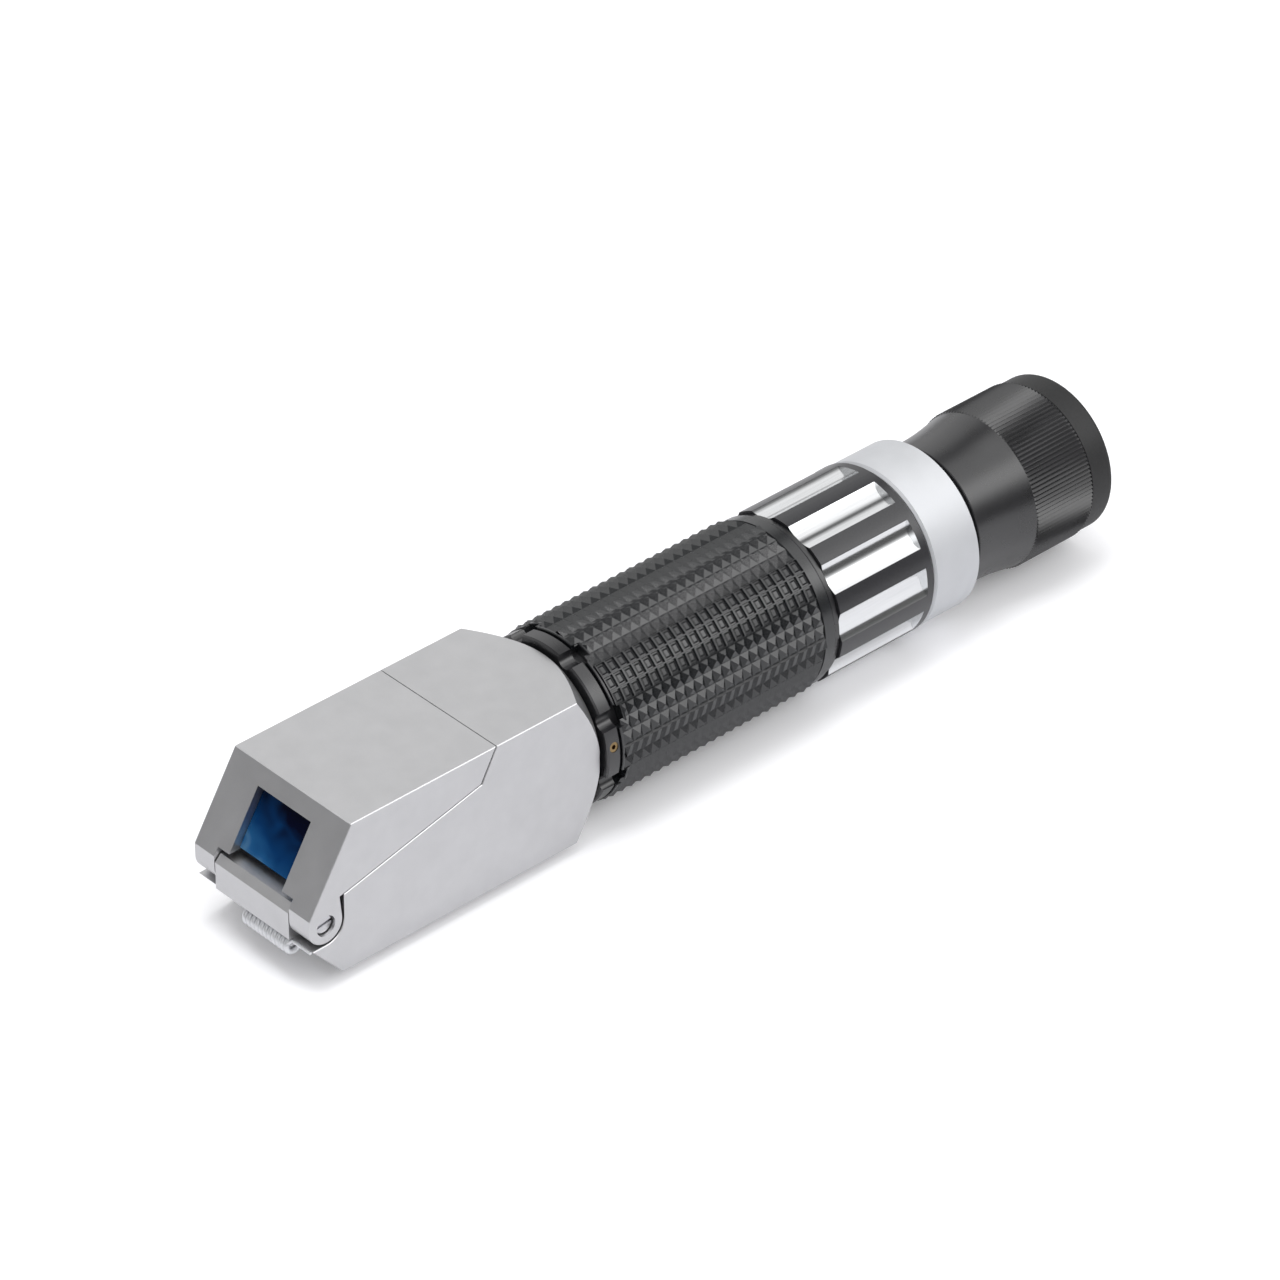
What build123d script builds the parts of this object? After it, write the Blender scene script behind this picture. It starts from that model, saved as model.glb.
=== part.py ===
from build123d import *
import math
import os

# Hand-held optical refractometer, in millimetres.
# The pieces are drawn on the optical axis: X runs from the prism head to the eye, Z is up and
# X = 0 is the top front edge of the flap. At the end they are set down so that the origin is
# under the middle of the instrument, level with the bottom of the grip.

# Fits
seat_gap = 0.05
running_gap = 0.05
parting_gap = 0.2
edge_break = 0.15

# Prism head
head_width = 32.0
head_length = 60.1
front_tilt = 31.15
sample_slope = 13.4
sample_x = -2.2
sample_z = 1.2
step_foot_x = 30.9
step_run = 3.65
rear_cone_angle = 41.7

# Hinge
hinge_x = -6.3
hinge_z = -3.6
ear_radius = 3.9
ear_back_x = -2.9
ear_clearance = 0.5
lug_width = 20.4
lug_side_gap = 0.2
lug_bevel = 1.4
lug_height = 2.9
lip_x = -9.5
lip_slope = 48.8

# Hinge screws
shoulder_radius = 1.5
shoulder_hole_gap = 0.06
screw_head_radius = 1.85
screw_head_height = 1.2
screw_head_sink = 0.8
screw_head_gap = 0.3
screw_thread_radius = 1.1
screw_thread_length = 4.0
screw_slot_width = 0.6
screw_slot_depth = 0.6

# Flap spring, in a groove under the lip
spring_radius = 1.8
spring_wire = 1.15
spring_turns = 12
spring_drop = 2.9
spring_stand = 1.1
spring_shift = -3.3
spring_leg_radius = 0.3
spring_leg_length = 5.3

# Prisms and window
prism_width = 14.4
prism_side_gap = 0.1
window_top = 3.9
window_depth = 1.8
glass_thickness = 1.0
lighting_prism_top_length = 20.0
lighting_prism_end_x = 28.0
lighting_prism_end_height = 1.0
measuring_prism_x = 1.0
measuring_prism_end_x = 28.0
measuring_prism_depth = 7.4
measuring_prism_exit_lean = 1.5
seal_width = 1.2
seal_side_gap = 0.3
seal_thickness = 0.8
light_bore_radius = 7.0

# Barrel tube
spigot_radius = 12.0
spigot_length = 12.7
spigot_bore_radius = 9.0
neck_radius = 13.6
neck_length = 0.7
collar_thread_radius = 14.0
barrel_bore_radius = 12.5
barrel_wall = 3.0
shoulder_height = 1.7
shoulder_length = 1.1
ring_seat_step = 0.5
mount_thread_step = 0.6
mount_thread_length = 3.5
o_ring_section = 1.2
o_ring_setback = 4.0

# Collar
collar_radius = 17.5
collar_length = 3.2
collar_chamfer = 0.3
notch_count = 8
notch_width = 3.6
notch_depth = 1.7
notch_angle = 108.2
grub_angle = 171.0
grub_radius = 1.0
grub_sink = 0.15
grub_socket_radius = 0.5
grub_socket_depth = 0.9

# Grip
grip_gap = 0.3
grip_length = 54.9
grip_thickness = 2.7
grip_notch_length = 1.5
grip_lip_length = 0.6
grip_rim_length = 2.8
grip_rim_step = 0.6
grip_rows = 40
grip_row_depth = 0.55
grip_panel_angle = 133.5
grip_panel_reach = 1
grip_strip_place = 5
grip_bands = 11
grip_band_depth = 0.48
grip_band_slope = 32.0

# Fluted adjusting ring and the compensator that it turns
ring_end_gap = 0.2
ring_length = 24.6
ring_wall = 2.84
flute_count = 11
flute_angle = 108.1
flute_length = 22.7
flute_width = 6.2
flute_depth = 1.05
ring_chamfer = 0.3
drive_pin_radius = 1.0
drive_pin_ring_depth = 1.6
drive_pin_cell_depth = 1.3
drive_slot_gap = 0.4
adjusting_angle = 60.0
compensator_length = 12.0
compensator_prism_side = 11.0
compensator_prism_lean = 2.0

# Objective
objective_setback = 2.0
objective_length = 10.0
objective_lens_radius = 10.0
objective_lip = 1.5
crown_front_bulge = 1.3
crown_thickness = 4.4
flint_thickness = 2.2
cemented_bulge = 1.3
retainer_length = 1.9
retainer_bore_radius = 8.5

# Reticle
reticle_gap = 2.2
reticle_cell_length = 3.2
reticle_radius = 10.5
reticle_thickness = 1.5
reticle_lip_radius = 9.0
reticle_lip = 1.2

# Eyepiece mount
mount_gap = 0.5
mount_radius = 17.65
mount_length = 11.7
mount_chamfer = 0.5
mount_bore_radius = 13.3

# Eyepiece
focus_gap = 2.75
focus_fit = 0.1
eyepiece_spigot_length = 8.5
cone_radius = 15.2
cone_length = 14.4
cone_end_radius = 16.4
knurl_radius = 16.7
knurl_length = 15.6
knurl_chamfer = 0.3
lens_cell_wall = 1.45
lens_cell_setback = 1.0
lens_cell_length = 32.0
lens_radius = 10.0
lens_cell_lip = 1.2
lens_cell_lip_width = 2.0
lens_cell_end_gap = 0.5
field_lens_thickness = 4.5
field_lens_bulge = 1.2
eye_lens_thickness = 5.5
eye_lens_bulge = 1.6
lens_retainer_length = 1.4
eye_hole_radius = 9.0

# Eyecup
eyecup_radius = 16.36
eyecup_length = 5.9
eyecup_boss_radius = 13.4
eyecup_boss_length = 2.5
eyecup_dish_radius = 14.4
eyecup_hole_radius = 9.6
eyecup_round = 1.2

# Places worked out from the sizes above
half = head_width / 2
tilt = math.radians(front_tilt)
slope = math.radians(sample_slope)
front_x = hinge_x - ear_radius
cheek_radius = ear_radius + ear_clearance
lip_z = hinge_z - cheek_radius
notch_ceiling_z = hinge_z + cheek_radius
lug_top_z = hinge_z + lug_height
pocket_width = prism_width + 2 * prism_side_gap
glass_back = window_depth + glass_thickness

barrel_radius = barrel_bore_radius + barrel_wall
fitted_bore_radius = barrel_bore_radius - seat_gap
ring_seat_radius = barrel_radius - ring_seat_step
mount_thread_radius = ring_seat_radius - mount_thread_step
grip_radius = barrel_radius + grip_thickness
ring_radius = ring_seat_radius + ring_wall

collar_x = head_length + neck_length
collar_end = collar_x + collar_length
grip_x = collar_end + grip_gap
grip_end = grip_x + grip_length
grip_bore_radius = barrel_radius + seat_gap
pattern_x = grip_x + grip_lip_length
pattern_length = grip_length - grip_lip_length - grip_rim_length
ring_x = grip_end + shoulder_length + ring_end_gap
ring_end = ring_x + ring_length
mount_x = ring_end + mount_gap
mount_end = mount_x + mount_length
barrel_end = mount_x + mount_thread_length
objective_x = collar_end + objective_setback
pin_x = ring_x + ring_length / 2
compensator_end = pin_x + compensator_length / 2
reticle_x = compensator_end + reticle_gap

cone_x = mount_end + focus_gap
knurl_x = cone_x + cone_length
knurl_end = knurl_x + knurl_length
eyepiece_x = cone_x - eyepiece_spigot_length
lens_cell_x = eyepiece_x + lens_cell_setback
lens_cell_end = lens_cell_x + lens_cell_length
lens_cell_radius = lens_radius + seat_gap + lens_cell_wall
eyepiece_bore_radius = lens_cell_radius + running_gap
back_x = knurl_end + eyecup_length

middle_x = (front_x + back_x) / 2


# Shapes

def cylinder_x(x_start, x_end, radius):
    return Pos((x_start + x_end) / 2, 0, 0) * Rot(0, 90, 0) * Cylinder(radius, x_end - x_start)


def tube(x_start, x_end, outer, inner):
    return cylinder_x(x_start, x_end, outer) - cylinder_x(x_start - 1, x_end + 1, inner)


def turned(*points):
    return revolve(make_face(Plane.XZ * Polyline(*points, close=True)), Axis.X)


def slab(width, *points):
    return extrude(make_face(Plane.XZ * Polyline(*points, close=True)), width / 2, both=True)


def pin_y(x, z, y_start, y_end, radius):
    return Pos(x, (y_start + y_end) / 2, z) * Rot(90, 0, 0) * Cylinder(radius, abs(y_end - y_start))


def block(x_start, x_end, width, z_start, z_end):
    return Pos((x_start + x_end) / 2, 0, (z_start + z_end) / 2) * Box(
        x_end - x_start, width, z_end - z_start
    )


def turn_to(angle):
    # A shape drawn above the axis goes to this clock angle, where 90 is the top and 180 is -Y.
    return Rot(angle - 90, 0, 0)


def front_point(down, depth=0.0):
    # Down is measured along the sloping front face from its top edge, and depth into the head.
    x = depth * math.cos(tilt) - down * math.sin(tilt)
    z = half - down * math.cos(tilt) - depth * math.sin(tilt)
    return x, z


def down_at(z, depth=0.0):
    return (half - depth * math.sin(tilt) - z) / math.cos(tilt)


def sample_plane_z(x, offset=0.0):
    return sample_z + (x - sample_x) * math.tan(slope) + offset / math.cos(slope)


def sample_plane_x(z, offset=0.0):
    return sample_x + (z - sample_z - offset / math.cos(slope)) / math.tan(slope)


def sample_frame(x):
    # A plane that lies on the sample face, with its own X running up the slope.
    return Plane(
        origin=(x, 0, sample_plane_z(x)),
        x_dir=(math.cos(slope), 0, math.sin(slope)),
        z_dir=(-math.sin(slope), 0, math.cos(slope)),
    )


def half_arc(x_vertex, bulge, radius):
    # Half of a lens face, from its vertex on the axis to its rim. A positive bulge bends the rim to +X.
    if bulge == 0:
        return Line((x_vertex, 0), (x_vertex, radius))
    curve = (radius**2 + bulge**2) / (2 * bulge)
    middle = radius / 2
    x_middle = x_vertex + curve - math.copysign(math.sqrt(curve**2 - middle**2), curve)
    return ThreePointArc((x_vertex, 0), (x_middle, middle), (x_vertex + bulge, radius))


def sag(bulge, radius, at_radius):
    # How far a lens face has bent at some distance from the axis.
    curve = (radius**2 + bulge**2) / (2 * bulge)
    return curve - math.sqrt(curve**2 - at_radius**2)


def lens(x_front, x_back, front_bulge, back_bulge, radius):
    front = half_arc(x_front, front_bulge, radius)
    back = half_arc(x_back, -back_bulge, radius)
    outline = front + back + Line(front @ 1, back @ 1) + Line((x_front, 0), (x_back, 0))
    return revolve(make_face(Plane.XZ * outline), Axis.X)


# Prism head

def prism_housing():
    step_x = step_foot_x + parting_gap
    lip_foot_x = lip_x + (lip_z + half) / math.tan(math.radians(lip_slope))
    body = slab(
        head_width,
        (lip_x, lip_z),
        (lip_foot_x, -half),
        (head_length, -half),
        (head_length, half),
        (step_x + step_run, half),
        (step_x, sample_plane_z(step_x)),
        (lip_x, sample_plane_z(lip_x)),
    )
    body -= ear_seat()
    body = break_side_edges(body)
    body += lug()
    body &= rear_cone()
    body -= measuring_prism_pocket()
    body -= cylinder_x(measuring_prism_end_x - measuring_prism_exit_lean, head_length, light_bore_radius)
    body -= cylinder_x(head_length - spigot_length - seat_gap, head_length, spigot_radius)
    body -= spring_groove()
    for side in (-1, 1):
        end_y = side * (lug_width / 2 - screw_thread_length - seat_gap)
        body -= pin_y(hinge_x, hinge_z, side * lug_width / 2, end_y, screw_thread_radius + seat_gap)
    return body


def ear_seat():
    # The round seat that the ears swing in, open to the front.
    seat = pin_y(hinge_x, hinge_z, -half, half, cheek_radius)
    seat += block(lip_x - ear_radius, hinge_x, head_width, lip_z, half)
    seat += block(hinge_x, hinge_x + cheek_radius, head_width, hinge_z, half)
    return seat


def lug():
    return slab(
        lug_width,
        (front_x, lip_z),
        (front_x, lug_top_z - lug_bevel),
        (front_x + lug_bevel, lug_top_z),
        (hinge_x + cheek_radius, lug_top_z),
        (hinge_x + cheek_radius, lip_z),
    )


def rear_cone():
    # Everything inside the cone that is turned on the rear of the square head.
    reach = head_length - front_x
    rise = reach * math.tan(math.radians(90 - rear_cone_angle))
    return turned((front_x, 0), (front_x, half + rise), (head_length, half), (head_length, 0))


def break_side_edges(body):
    # A small chamfer all round both side faces of the head.
    sides = body.faces().filter_by(Axis.Y)
    rims = [face.edges() for face in sides if abs(abs(face.center().Y) - half) < 0.01]
    return chamfer([edge for rim in rims for edge in rim], edge_break)


def measuring_prism_outline(grow):
    start = measuring_prism_x - grow
    end = measuring_prism_end_x + grow
    floor = -measuring_prism_depth - grow
    return (
        (start, sample_plane_z(start)),
        (end, sample_plane_z(end)),
        (end - measuring_prism_exit_lean, floor),
        (start, floor),
    )


def measuring_prism_pocket():
    pocket = slab(pocket_width, *measuring_prism_outline(prism_side_gap))
    pocket += seal_frame(0.0, seat_gap)
    return pocket


def measuring_prism():
    return slab(prism_width, *measuring_prism_outline(0.0))


def seal_frame(inner_grow, outer_grow):
    # A flat frame round the prism, let into the sample face. Without an inner size it is the recess.
    length = (measuring_prism_end_x - measuring_prism_x) / math.cos(slope)
    middle_x = (measuring_prism_end_x + measuring_prism_x) / 2
    edge = 2 * (seal_side_gap + seal_width + outer_grow)
    top = (Align.CENTER, Align.CENTER, Align.MAX)
    frame = Box(length + edge, prism_width + edge, seal_thickness, align=top)
    if inner_grow:
        hole = 2 * inner_grow
        frame -= Box(length + hole, prism_width + hole, 4 * seal_thickness)
    return sample_frame(middle_x) * frame


def prism_seal():
    return seal_frame(seal_side_gap, 0.0)


def spring_centre():
    lean = math.radians(lip_slope)
    x = lip_x + spring_drop * math.cos(lean) - spring_stand * math.sin(lean)
    z = lip_z - spring_drop * math.sin(lean) - spring_stand * math.cos(lean)
    return x, z


def spring_groove():
    x, z = spring_centre()
    half_length = spring_turns * spring_wire / 2 + 2 * seat_gap
    return pin_y(x, z, spring_shift - half_length, spring_shift + half_length, spring_radius + 2 * seat_gap)


def flap_spring():
    # A close-wound coil, whose turns have flats, with one leg that runs along the edge of the lip.
    x, z = spring_centre()
    half_length = spring_turns * spring_wire / 2
    bore = spring_radius - spring_wire
    outline = [(-half_length, bore)]
    for turn in range(spring_turns):
        start = -half_length + turn * spring_wire
        outline.append((start, spring_radius - spring_wire / 3))
        outline.append((start + spring_wire / 4, spring_radius))
        outline.append((start + spring_wire * 3 / 4, spring_radius))
    outline += [(half_length, spring_radius - spring_wire / 3), (half_length, bore)]
    coil = Pos(x, spring_shift, z) * Rot(0, 0, 90) * turned(*outline)
    leg_y = spring_shift - half_length
    leg_x = lip_x - spring_leg_radius / 2
    leg_z = lip_z - spring_leg_radius - seat_gap
    leg = pin_y(leg_x, leg_z, leg_y + spring_wire, leg_y - spring_leg_length, spring_leg_radius)
    bend_y = leg_y + spring_wire / 2
    bend = Line((x - spring_wire / 2, bend_y, z), (leg_x, bend_y, leg_z))
    coil += sweep(Plane(bend @ 0, z_dir=bend % 0) * Circle(spring_leg_radius - seat_gap), bend)
    return coil + leg


def prism_flap():
    ear_top = (front_x, front_point(down_at_front())[1])
    ear_back = (ear_back_x, sample_plane_z(ear_back_x, parting_gap))
    foot = (step_foot_x, sample_plane_z(step_foot_x, parting_gap))
    body = slab(head_width, (0, half), ear_top, ear_back, foot, (step_foot_x + step_run, half))
    body += ears(ear_top, ear_back)
    top_edge = body.edges().filter_by(Axis.Y).sort_by(Axis.Z)[-2:].sort_by(Axis.X)[0]
    body = chamfer(top_edge, edge_break)
    body = break_side_edges(body)
    notch_end = hinge_x + cheek_radius
    body -= block(2 * front_x, notch_end, lug_width + 2 * lug_side_gap, -half, notch_ceiling_z)
    body -= lighting_prism_pocket()
    for side in (-1, 1):
        body -= pin_y(hinge_x, hinge_z, 0, side * half, shoulder_radius + shoulder_hole_gap)
        counterbore_y = side * (half - screw_head_sink - screw_head_height - seat_gap)
        body -= pin_y(hinge_x, hinge_z, counterbore_y, side * (half + 1), screw_head_radius + screw_head_gap)
    return body


def down_at_front():
    return -front_x / math.sin(tilt)


def ears(ear_top, ear_back):
    pivot = Pos(hinge_x, hinge_z) * Circle(ear_radius)
    outline = make_hull(pivot.edges() + [Line(ear_top, ear_back)])
    return extrude(Plane.XZ * outline, head_width / 2, both=True)


def lighting_prism_outline(grow):
    depth = glass_back - grow
    top = front_point(window_top + seat_gap - grow, depth)
    end = lighting_prism_end_x + grow
    floor = notch_ceiling_z
    return (
        top,
        (lighting_prism_top_length, top[1]),
        (end, sample_plane_z(end, parting_gap + lighting_prism_end_height + grow)),
        (end, sample_plane_z(end, parting_gap)),
        (sample_plane_x(floor, parting_gap), floor),
        front_point(down_at(floor, depth), depth),
    )


def lighting_prism_pocket():
    pocket = slab(pocket_width, *lighting_prism_outline(prism_side_gap))
    low = down_at(notch_ceiling_z - parting_gap, glass_back)
    pocket += slab(
        pocket_width,
        front_point(window_top, -1),
        front_point(window_top, glass_back + seat_gap),
        front_point(low, glass_back + seat_gap),
        front_point(low + glass_back, -1),
    )
    return pocket


def illuminating_prism():
    return slab(prism_width, *lighting_prism_outline(0.0))


def window_glass():
    low = down_at(notch_ceiling_z, glass_back)
    high = window_top + seat_gap
    return slab(
        prism_width,
        front_point(high, window_depth),
        front_point(high, glass_back),
        front_point(low, glass_back),
        front_point(low, window_depth),
    )


def hinge_screw(side):
    top = half - screw_head_sink
    shoulder_top = top - screw_head_height
    screw = pin_y(hinge_x, hinge_z, side * top, side * shoulder_top, screw_head_radius)
    screw += pin_y(hinge_x, hinge_z, side * shoulder_top, side * lug_width / 2, shoulder_radius)
    thread_end = lug_width / 2 - screw_thread_length
    screw += pin_y(hinge_x, hinge_z, side * lug_width / 2, side * thread_end, screw_thread_radius)
    slot = Box(3 * screw_head_radius, 2 * screw_slot_depth, screw_slot_width)
    return screw - Pos(hinge_x, side * top, hinge_z) * Rot(0, -8, 0) * slot


def hinge_screws():
    return Compound(children=[hinge_screw(-1), hinge_screw(1)])


# Barrel

def barrel_tube():
    body = turned(
        (head_length - spigot_length, 0),
        (head_length - spigot_length, spigot_radius - seat_gap),
        (head_length, spigot_radius - seat_gap),
        (head_length, neck_radius),
        (collar_x, neck_radius),
        (collar_x, collar_thread_radius),
        (collar_end, collar_thread_radius),
        (collar_end, barrel_radius),
        (grip_end, barrel_radius),
        (grip_end, barrel_radius + shoulder_height),
        (grip_end + shoulder_length, barrel_radius + shoulder_height),
        (grip_end + shoulder_length, ring_seat_radius),
        (ring_end + mount_gap / 2, ring_seat_radius),
        (ring_end + mount_gap / 2, mount_thread_radius),
        (barrel_end, mount_thread_radius),
        (barrel_end, 0),
    )
    body -= cylinder_x(0, objective_x, spigot_bore_radius)
    body -= cylinder_x(objective_x, barrel_end, barrel_bore_radius)
    groove_x = head_length - o_ring_setback
    body -= tube(groove_x - o_ring_section, groove_x, half, spigot_radius - o_ring_section - 2 * seat_gap)
    return body - drive_slot()


def drive_slot():
    # An arc-shaped slot over the compensator that lets the drive pin swing both ways.
    width = 2 * (drive_pin_radius + drive_slot_gap)
    reach = adjusting_angle + math.degrees(width / 2 / barrel_bore_radius)
    profile = Pos(pin_x, (barrel_bore_radius + ring_radius) / 2) * Rectangle(
        width, ring_radius - barrel_bore_radius + 2
    )
    slot = revolve(profile, Axis.X, 2 * reach)
    return Rot(90 - reach, 0, 0) * slot


def barrel_o_ring():
    middle = head_length - o_ring_setback - o_ring_section / 2
    section = o_ring_section / 2
    return Pos(middle, 0, 0) * Rot(0, 90, 0) * Torus(spigot_radius - seat_gap - section, section)


def notches(x_start, x_end):
    # Round-bottomed cuts for a spanner, evenly spaced round the collar.
    floor = collar_radius - notch_depth
    cutter = Pos(0, 0, floor + notch_width / 2) * cylinder_x(x_start, x_end, notch_width / 2)
    cutter += Pos((x_start + x_end) / 2, 0, collar_radius + notch_width / 2) * Box(
        x_end - x_start, notch_width, 2 * notch_depth
    )
    cuts = [turn_to(notch_angle + n * 360 / notch_count) * cutter for n in range(notch_count)]
    return Compound(children=cuts)


def locking_collar():
    body = turned(
        (collar_x, collar_thread_radius + seat_gap),
        (collar_x, collar_radius - collar_chamfer),
        (collar_x + collar_chamfer, collar_radius),
        (collar_end - collar_chamfer, collar_radius),
        (collar_end, collar_radius - collar_chamfer),
        (collar_end, collar_thread_radius + seat_gap),
    )
    body -= notches(collar_x - 1, collar_end + 1)
    upward = (Align.CENTER, Align.CENTER, Align.MIN)
    return body - grub_place() * Cylinder(grub_radius + seat_gap, 2 * collar_radius, align=upward)


def grub_place():
    return turn_to(grub_angle) * Pos(collar_x + collar_length / 2, 0, 0)


def collar_grub_screw():
    start = collar_thread_radius + 2 * seat_gap
    end = collar_radius - grub_sink
    screw = Pos(0, 0, (start + end) / 2) * Cylinder(grub_radius, end - start)
    socket = Pos(0, 0, end) * extrude(RegularPolygon(grub_socket_radius, 6), grub_socket_depth, both=True)
    return grub_place() * (screw - socket)


def rubber_grip():
    # Ridges run along the moulded pattern, one to each row, and V-shaped grooves cross them.
    body = extrude(Plane.YZ.offset(pattern_x) * ridged_section(), pattern_length)
    for row in range(grip_rows):
        if rows_from_panel(row) not in (*range(grip_panel_reach + 1), grip_strip_place):
            body -= [turn_to(row_angle(row)) * groove for groove in row_grooves()]
    rim_radius = grip_radius - grip_rim_step
    body += cylinder_x(grip_x, pattern_x, rim_radius)
    body += cylinder_x(grip_end - grip_rim_length, grip_end, rim_radius)
    body -= cylinder_x(grip_x - 1, grip_end + 1, grip_bore_radius)
    return body - notches(grip_x - 1, grip_x + grip_notch_length)


def row_angle(row):
    return grip_panel_angle + row * 360 / grip_rows


def rows_from_panel(row):
    # How many rows lie between this one and the middle of the nearer of the two smooth panels.
    spacing = grip_rows // 2
    return abs((row + spacing // 2) % spacing - spacing // 2)


def ridged_section():
    # The panels have no valleys inside them.
    points = []
    for row in range(grip_rows):
        points.append(Vector(grip_radius, 0).rotate(Axis.Z, row_angle(row)))
        if max(rows_from_panel(row), rows_from_panel(row + 1)) > grip_panel_reach:
            points.append(Vector(grip_radius - grip_row_depth, 0).rotate(Axis.Z, row_angle(row + 0.5)))
    return make_face(Polyline(*points, close=True))


def row_grooves():
    # The grooves across one ridge, drawn above the axis and narrower than the ridge's foot.
    width = 2 * math.pi * grip_radius / grip_rows * grip_band_depth / grip_row_depth
    floor = grip_radius - grip_band_depth
    top = grip_radius + 1
    run = (top - floor) / math.tan(math.radians(grip_band_slope))
    band = pattern_length / grip_bands
    places = [pattern_x + n * band for n in range(1, grip_bands)]
    return [slab(width, (x, floor), (x + run, top), (x - run, top)) for x in places]


def adjusting_ring():
    bore = ring_seat_radius + running_gap
    body = turned(
        (ring_x, bore),
        (ring_x, ring_radius),
        (ring_end - ring_chamfer, ring_radius),
        (ring_end, ring_radius - ring_chamfer),
        (ring_end, bore),
    )
    for n in range(flute_count):
        body -= turn_to(flute_angle + n * 360 / flute_count) * flute_cutter()
    hole_top = ring_seat_radius + running_gap + drive_pin_ring_depth
    hole = Pos(pin_x, 0, hole_top / 2) * Cylinder(drive_pin_radius + seat_gap, hole_top)
    return body - hole


def flute_cutter():
    # The cutter's radius follows from the width and depth of the hollow that it leaves.
    chord_height = math.sqrt(ring_radius**2 - (flute_width / 2) ** 2)
    rise = chord_height - (ring_radius - flute_depth)
    cutter_radius = ((flute_width / 2) ** 2 + rise**2) / (2 * rise)
    centre = ring_radius - flute_depth + cutter_radius
    return Pos(0, 0, centre) * cylinder_x(ring_x - 1, ring_x + flute_length, cutter_radius)


def drive_pin():
    start = fitted_bore_radius - drive_pin_cell_depth
    end = ring_seat_radius + running_gap + drive_pin_ring_depth - seat_gap
    return Pos(pin_x, 0, (start + end) / 2) * Cylinder(drive_pin_radius, end - start)


def compensator_cell():
    start = compensator_end - compensator_length
    body = cylinder_x(start, compensator_end, fitted_bore_radius)
    opening = compensator_prism_side + 2 * seat_gap
    body -= block(start - 1, compensator_end + 1, opening, -opening / 2, opening / 2)
    pin_floor = fitted_bore_radius - drive_pin_cell_depth - seat_gap
    hole = Pos(pin_x, 0, pin_floor) * Cylinder(
        drive_pin_radius + seat_gap, 2 * drive_pin_cell_depth, align=(Align.CENTER, Align.CENTER, Align.MIN)
    )
    return body - hole


def compensator_prism():
    start = compensator_end - compensator_length
    side = compensator_prism_side / 2
    return slab(
        compensator_prism_side,
        (start, -side),
        (start + compensator_prism_lean, side),
        (compensator_end - compensator_prism_lean, side),
        (compensator_end, -side),
    )


# Objective and reticle

def objective_cell():
    bore = objective_lens_radius + seat_gap
    body = tube(objective_x, objective_x + objective_length, fitted_bore_radius, bore)
    return body + tube(objective_x, objective_x + objective_lip, fitted_bore_radius, spigot_bore_radius)


def crown_x():
    face = sag(crown_front_bulge, objective_lens_radius, spigot_bore_radius)
    return objective_x + objective_lip - face + seat_gap


def objective_crown_lens():
    start = crown_x()
    return lens(start, start + crown_thickness, crown_front_bulge, cemented_bulge, objective_lens_radius)


def objective_flint_lens():
    start = crown_x() + crown_thickness
    return lens(start, start + flint_thickness, -cemented_bulge, 0, objective_lens_radius)


def objective_retainer():
    start = crown_x() + crown_thickness + flint_thickness + seat_gap
    return tube(start, start + retainer_length, objective_lens_radius, retainer_bore_radius)


def reticle_cell():
    body = tube(reticle_x, reticle_x + reticle_cell_length, fitted_bore_radius, reticle_radius + seat_gap)
    return body + tube(reticle_x, reticle_x + reticle_lip, fitted_bore_radius, reticle_lip_radius)


def reticle_disc():
    start = reticle_x + reticle_lip
    return cylinder_x(start, start + reticle_thickness, reticle_radius)


def reticle_retainer():
    start = reticle_x + reticle_lip + reticle_thickness + seat_gap
    return tube(start, start + retainer_length, reticle_radius, reticle_lip_radius)


# Eyepiece

def eyepiece_mount():
    return turned(
        (mount_x, mount_thread_radius + seat_gap),
        (mount_x, mount_radius - mount_chamfer),
        (mount_x + mount_chamfer, mount_radius),
        (mount_end, mount_radius),
        (mount_end, mount_bore_radius),
        (barrel_end + seat_gap, mount_bore_radius),
        (barrel_end + seat_gap, mount_thread_radius + seat_gap),
    )


def eyepiece_body():
    spigot = mount_bore_radius - focus_fit
    belly_x = cone_x + cone_length / 2
    belly = cone_radius + (cone_end_radius - cone_radius) / 3
    cone = ThreePointArc((cone_x, cone_radius), (belly_x, belly), (knurl_x, cone_end_radius))
    outline = cone + Polyline(
        (knurl_x, cone_end_radius),
        (knurl_x + knurl_chamfer, knurl_radius),
        (knurl_end - knurl_chamfer, knurl_radius),
        (knurl_end, knurl_radius - knurl_chamfer),
        (knurl_end, eyecup_boss_radius),
        (knurl_end + eyecup_boss_length, eyecup_boss_radius),
        (knurl_end + eyecup_boss_length, eye_hole_radius),
        (lens_cell_end + lens_cell_end_gap, eye_hole_radius),
        (lens_cell_end + lens_cell_end_gap, eyepiece_bore_radius),
        (eyepiece_x, eyepiece_bore_radius),
        (eyepiece_x, spigot),
        (cone_x, spigot),
        (cone_x, cone_radius),
    )
    return revolve(make_face(Plane.XZ * outline), Axis.X)


def eyecup():
    seat = eyecup_boss_radius + seat_gap
    floor_x = knurl_end + eyecup_boss_length + seat_gap
    body = turned(
        (knurl_end + seat_gap, seat),
        (knurl_end + seat_gap, eyecup_radius),
        (back_x, eyecup_radius),
        (back_x, eyecup_dish_radius),
        (floor_x + seat_gap, eyecup_hole_radius),
        (floor_x, eyecup_hole_radius),
        (floor_x, seat),
    )
    rim = body.edges().filter_by(GeomType.CIRCLE).sort_by(Axis.X)[-2:]
    return fillet(rim.sort_by(SortBy.LENGTH)[-1], eyecup_round)


def lens_cell():
    body = tube(lens_cell_x, lens_cell_end, lens_cell_radius, lens_radius + seat_gap)
    lip = lens_cell_end - lens_cell_lip
    return body + tube(lip, lens_cell_end, lens_cell_radius, lens_radius - lens_cell_lip_width)


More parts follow.
